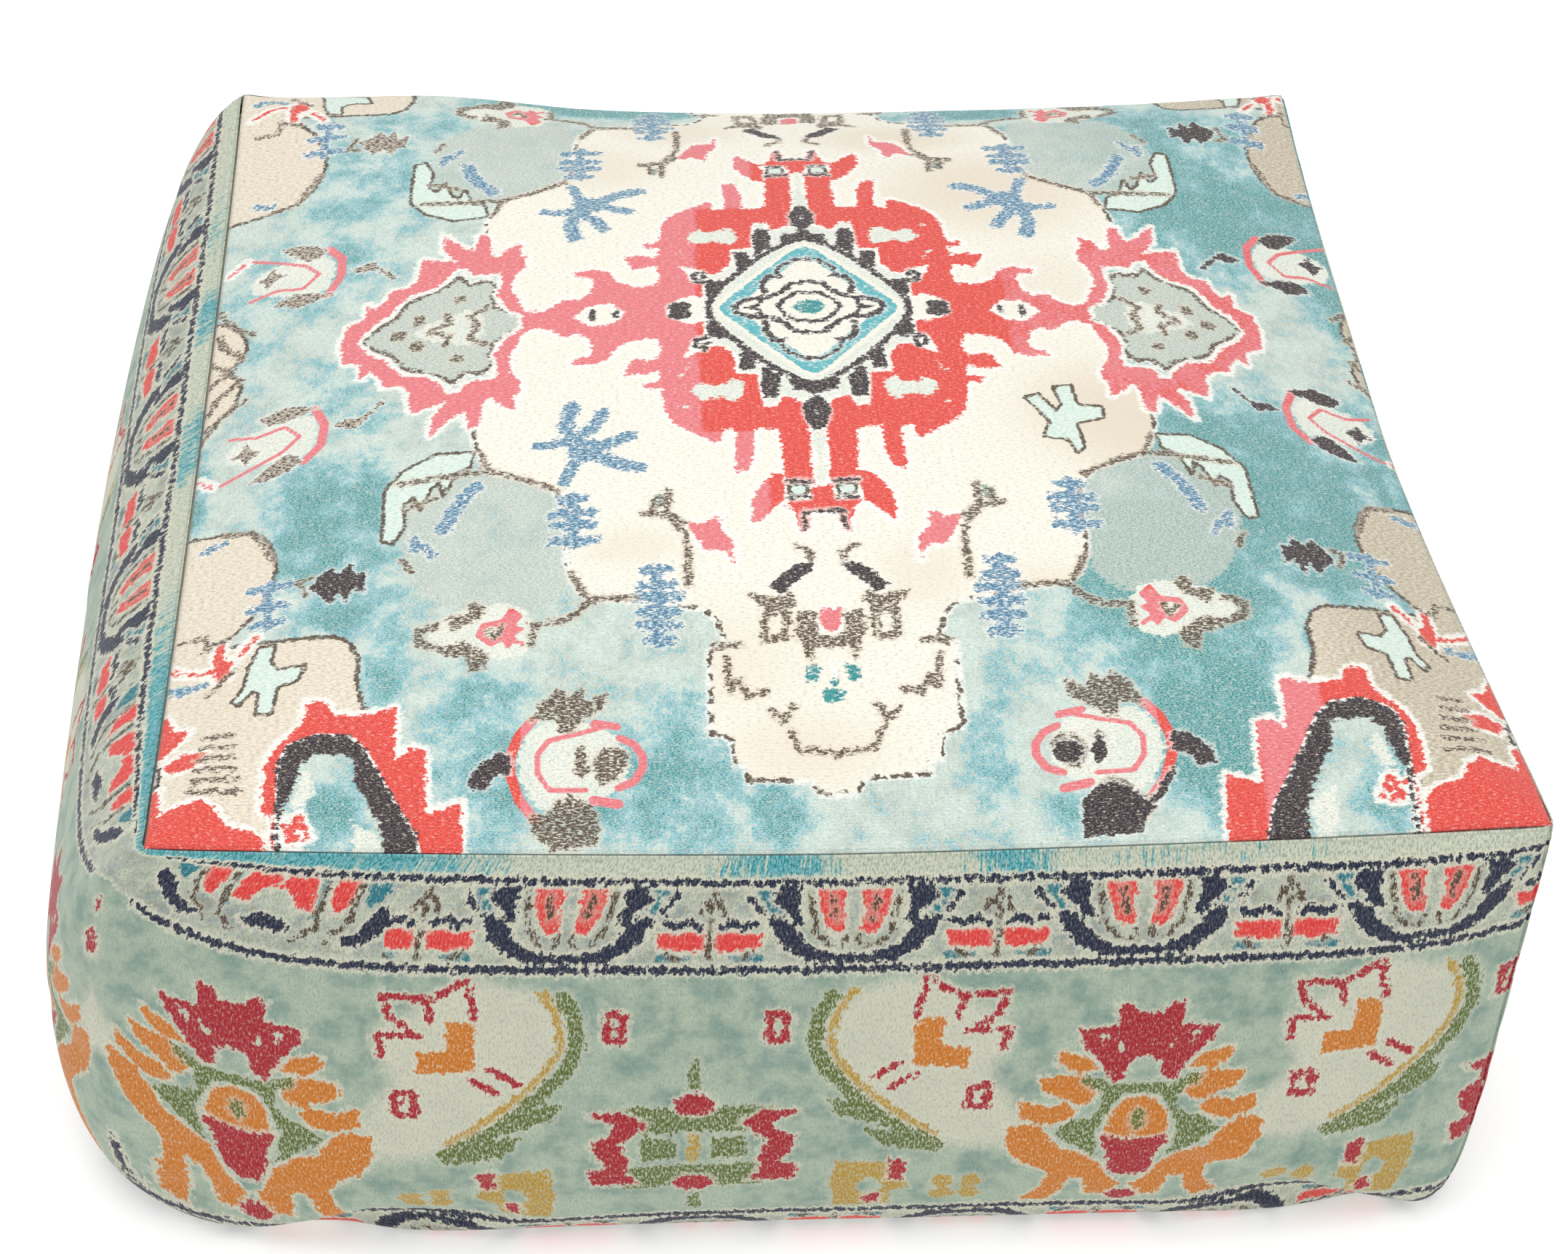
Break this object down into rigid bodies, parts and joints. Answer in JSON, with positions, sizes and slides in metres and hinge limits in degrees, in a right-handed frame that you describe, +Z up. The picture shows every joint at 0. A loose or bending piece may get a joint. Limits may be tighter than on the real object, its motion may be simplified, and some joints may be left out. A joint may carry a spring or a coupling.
{
  "type": "floor cushion",
  "caption": "Square floor cushion with a printed canvas cover, a domed top, a deep side band and a zip low on its back.",
  "frame": {"origin": "on the floor, under the middle of the cushion's bounding box", "axes": "+Z up, +Y towards the back where the zip is, +X to the right as seen from the front"},
  "size_m": [0.6874, 0.6442, 0.279],
  "materials": {
    "printed_canvas": "ribbed cotton canvas printed with a worn rug pattern in teal, cream, coral and aubergine",
    "plain_canvas": "unprinted natural cotton canvas",
    "muslin": "unbleached muslin",
    "polyester_fibre": "white hollow fibre, matt and fluffy",
    "zip_tape": "woven polyester tape",
    "nylon": "moulded nylon coil",
    "nickel_plate": "nickel-plated die-cast metal"
  },
  "bodies": {
    "cushion": {"top_panel": "printed_canvas", "side_band_front_left": "printed_canvas", "side_band_right": "printed_canvas", "side_band_back_upper": "printed_canvas", "side_band_back_lower": "printed_canvas", "bottom_panel": "plain_canvas", "liner_top": "muslin", "liner_base": "muslin", "liner_wall": "muslin", "fibre_filling": "polyester_fibre", "zip_tape_upper": "zip_tape", "zip_tape_lower": "zip_tape", "zip_coil_upper": "nylon", "zip_coil_lower": "nylon", "zip_top_stop_upper": "nickel_plate", "zip_top_stop_lower": "nickel_plate", "zip_bottom_stop": "nickel_plate"},
    "zip_slider": {"zip_slider": "nickel_plate"},
    "zip_pull_tab": {"zip_pull_tab": "nickel_plate"}
  },
  "joints": [
    {"name": "zip_run", "type": "slide", "parent": "cushion", "child": "zip_slider", "axis": [-1, 0, 0], "range_m": [0, 0.417]},
    {"name": "pull_tab_swing", "type": "hinge", "parent": "zip_slider", "child": "zip_pull_tab", "pos_m": [0.23601, 0.31983, 0.075], "axis": [0, 0, -1], "range_deg": [0, 175]}
  ]
}
